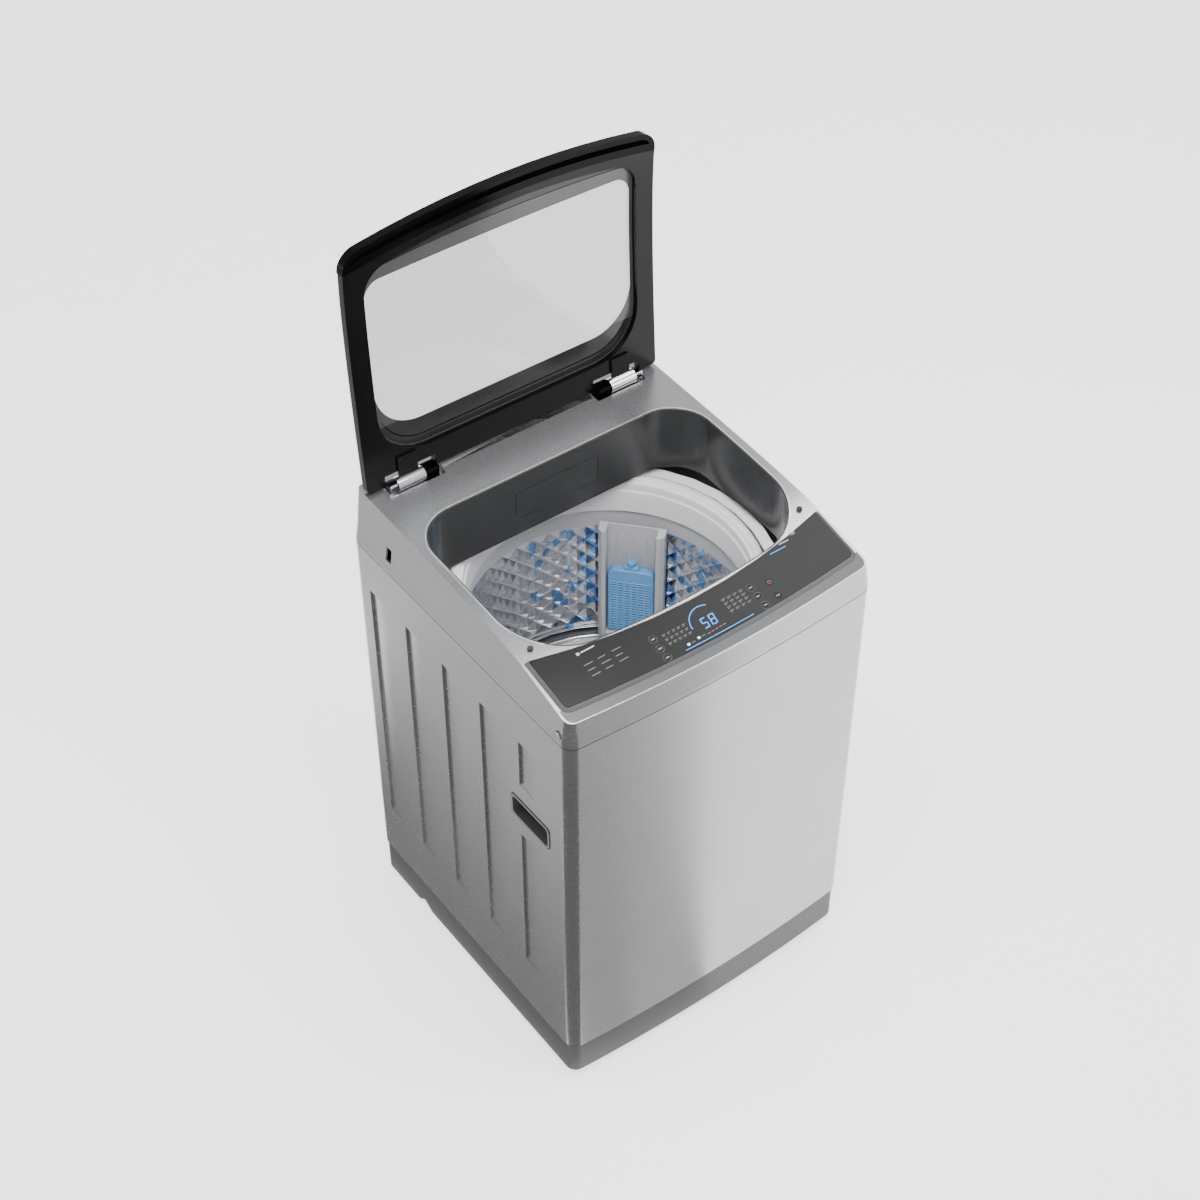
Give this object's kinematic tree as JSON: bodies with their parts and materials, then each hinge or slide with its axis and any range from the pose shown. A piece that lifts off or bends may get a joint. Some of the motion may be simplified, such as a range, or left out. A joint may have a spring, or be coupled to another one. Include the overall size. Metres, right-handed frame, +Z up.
{
  "type": "top load washing machine",
  "caption": "Upright top loading washing machine with a sloped control panel, a hinged glass lid, a dispenser drawer and a belt-driven basket and pulsator in a hung tub.",
  "frame": {"origin": "on the floor, under the middle of the whole box with the lid open", "axes": "+Z up, +Y towards the rear, so the control panel faces -Y; +X to the right of a person facing the machine"},
  "size_m": [0.6332, 0.653, 1.4932],
  "materials": {
    "painted_steel": "satin silver paint",
    "silver_plastic": "silver-filled moulding",
    "dark_plastic": "dark grey moulding",
    "gloss_grey": "glossy dark grey moulding",
    "black_plastic": "glossy black moulding",
    "smoked_film": "printed smoked overlay",
    "key_film": "printed smoked key cap",
    "glass": "clear curved glass with a printed black border",
    "chrome": "bright plated",
    "stainless": "embossed stainless sheet",
    "ring_plastic": "pale grey moulding",
    "clear_plastic": "pale grey glossy moulding",
    "filter_blue": "blue moulding",
    "white_plastic": "natural white moulding",
    "zinc_steel": "zinc plated steel",
    "cast_alloy": "die cast",
    "rubber": "moulded rubber",
    "circuit_board": "laminate board with parts"
  },
  "bodies": {
    "cabinet": {"cabinet_shell": "painted_steel", "rear_panel": "zinc_steel", "cord_gland": "rubber", "handle_cup_left": "silver_plastic", "handle_cup_right": "silver_plastic", "base_frame": "dark_plastic", "top_cover": "silver_plastic", "collar": "gloss_grey", "dispenser_housing": "white_plastic", "inlet_valve": "white_plastic", "panel_bezel": "silver_plastic", "panel_film": "smoked_film", "control_board": "circuit_board", "lid_bumper_left": "rubber", "lid_bumper_right": "rubber", "hinge_bracket_left": "chrome", "hinge_bracket_right": "chrome", "suspension_rod_front_left": "zinc_steel", "suspension_rod_front_right": "zinc_steel", "suspension_rod_rear_left": "zinc_steel", "suspension_rod_rear_right": "zinc_steel", "drain_hose": "dark_plastic"},
    "lid": {"lid_frame": "black_plastic", "lid_glass": "glass", "lid_bar": "black_plastic", "hinge_barrel_left": "chrome", "hinge_barrel_right": "chrome"},
    "tub": {"outer_tub": "white_plastic", "tub_ring": "white_plastic", "mounting_plate": "zinc_steel", "bearing_housing": "cast_alloy", "motor": "cast_alloy", "drain_valve": "dark_plastic", "drive_belt": "rubber", "damper_cup_front_left": "dark_plastic", "damper_cup_front_right": "dark_plastic", "damper_cup_rear_left": "dark_plastic", "damper_cup_rear_right": "dark_plastic"},
    "basket": {"basket_wall": "stainless", "basket_base": "stainless", "balance_ring": "ring_plastic", "filter_housing": "clear_plastic"},
    "lint_filter": {"filter_cartridge": "filter_blue"},
    "pulsator": {"pulsator": "ring_plastic", "drive_shaft": "zinc_steel", "drive_pulley": "cast_alloy"},
    "motor_rotor": {"motor_pulley": "zinc_steel"},
    "drawer": {"dispenser_drawer": "gloss_grey"},
    "key_left_top": {"key_left_top": "key_film"},
    "key_left_middle": {"key_left_middle": "key_film"},
    "key_left_bottom": {"key_left_bottom": "key_film"},
    "key_right_top": {"key_right_top": "key_film"},
    "key_right_middle": {"key_right_middle": "key_film"},
    "key_right_bottom": {"key_right_bottom": "key_film"},
    "key_power": {"key_power": "key_film"},
    "key_start": {"key_start": "key_film"},
    "foot_front_left": {"foot_front_left": "rubber"},
    "foot_front_right": {"foot_front_right": "rubber"},
    "foot_rear_left": {"foot_rear_left": "rubber"},
    "foot_rear_right": {"foot_rear_right": "rubber"}
  },
  "joints": [
    {"name": "lid_hinge", "type": "hinge", "parent": "cabinet", "child": "lid", "pos_m": [0, 0.262, 0.99342], "axis": [1, 0, 0], "range_deg": [0, 96]},
    {"name": "tub_bounce", "type": "slide", "parent": "cabinet", "child": "tub", "axis": [0, 0, 1], "range_m": [-0.015, 0.004], "stiffness_N_per_m": 8000, "springref_m": 0.05381},
    {"name": "basket_spin", "type": "hinge", "parent": "tub", "child": "basket", "pos_m": [0, 0, 0.458], "axis": [0, 0, 1], "continuous": true},
    {"name": "pulsator_turn", "type": "hinge", "parent": "tub", "child": "pulsator", "pos_m": [0, 0, 0.476], "axis": [0, 0, 1], "continuous": true},
    {"name": "motor_turn", "type": "hinge", "parent": "tub", "child": "motor_rotor", "pos_m": [-0.165, 0, 0.205], "axis": [0, 0, 1], "continuous": true},
    {"name": "filter_tilt", "type": "hinge", "parent": "basket", "child": "lint_filter", "pos_m": [0.15606, 0.14052, 0.504], "axis": [0.6691, -0.7431, 0], "range_deg": [0, 20]},
    {"name": "drawer_slide", "type": "slide", "parent": "cabinet", "child": "drawer", "axis": [0, -1, 0], "range_m": [0, 0.06]},
    {"name": "left_top_press", "type": "slide", "parent": "cabinet", "child": "key_left_top", "axis": [0, 0.2288, -0.9735], "range_m": [0, 0.0008], "stiffness_N_per_m": 1000, "springref_m": -0.0003},
    {"name": "left_middle_press", "type": "slide", "parent": "cabinet", "child": "key_left_middle", "axis": [0, 0.2288, -0.9735], "range_m": [0, 0.0008], "stiffness_N_per_m": 1000, "springref_m": -0.0003},
    {"name": "left_bottom_press", "type": "slide", "parent": "cabinet", "child": "key_left_bottom", "axis": [0, 0.2288, -0.9735], "range_m": [0, 0.0008], "stiffness_N_per_m": 1000, "springref_m": -0.0003},
    {"name": "right_top_press", "type": "slide", "parent": "cabinet", "child": "key_right_top", "axis": [0, 0.2288, -0.9735], "range_m": [0, 0.0008], "stiffness_N_per_m": 1000, "springref_m": -0.0003},
    {"name": "right_middle_press", "type": "slide", "parent": "cabinet", "child": "key_right_middle", "axis": [0, 0.2288, -0.9735], "range_m": [0, 0.0008], "stiffness_N_per_m": 1000, "springref_m": -0.0003},
    {"name": "right_bottom_press", "type": "slide", "parent": "cabinet", "child": "key_right_bottom", "axis": [0, 0.2288, -0.9735], "range_m": [0, 0.0008], "stiffness_N_per_m": 1000, "springref_m": -0.0003},
    {"name": "power_press", "type": "slide", "parent": "cabinet", "child": "key_power", "axis": [0, 0.2288, -0.9735], "range_m": [0, 0.0008], "stiffness_N_per_m": 1000, "springref_m": -0.0003},
    {"name": "start_press", "type": "slide", "parent": "cabinet", "child": "key_start", "axis": [0, 0.2288, -0.9735], "range_m": [0, 0.0008], "stiffness_N_per_m": 1000, "springref_m": -0.0003},
    {"name": "front_left_level", "type": "slide", "parent": "cabinet", "child": "foot_front_left", "axis": [0, 0, 1], "range_m": [-0.012, 0.008]},
    {"name": "front_right_level", "type": "slide", "parent": "cabinet", "child": "foot_front_right", "axis": [0, 0, 1], "range_m": [-0.012, 0.008]},
    {"name": "rear_left_level", "type": "slide", "parent": "cabinet", "child": "foot_rear_left", "axis": [0, 0, 1], "range_m": [-0.012, 0.008]},
    {"name": "rear_right_level", "type": "slide", "parent": "cabinet", "child": "foot_rear_right", "axis": [0, 0, 1], "range_m": [-0.012, 0.008]}
  ],
  "couplings": [
    {"joint": "motor_turn", "follows": "pulsator_turn", "ratio": 4.0909}
  ]
}
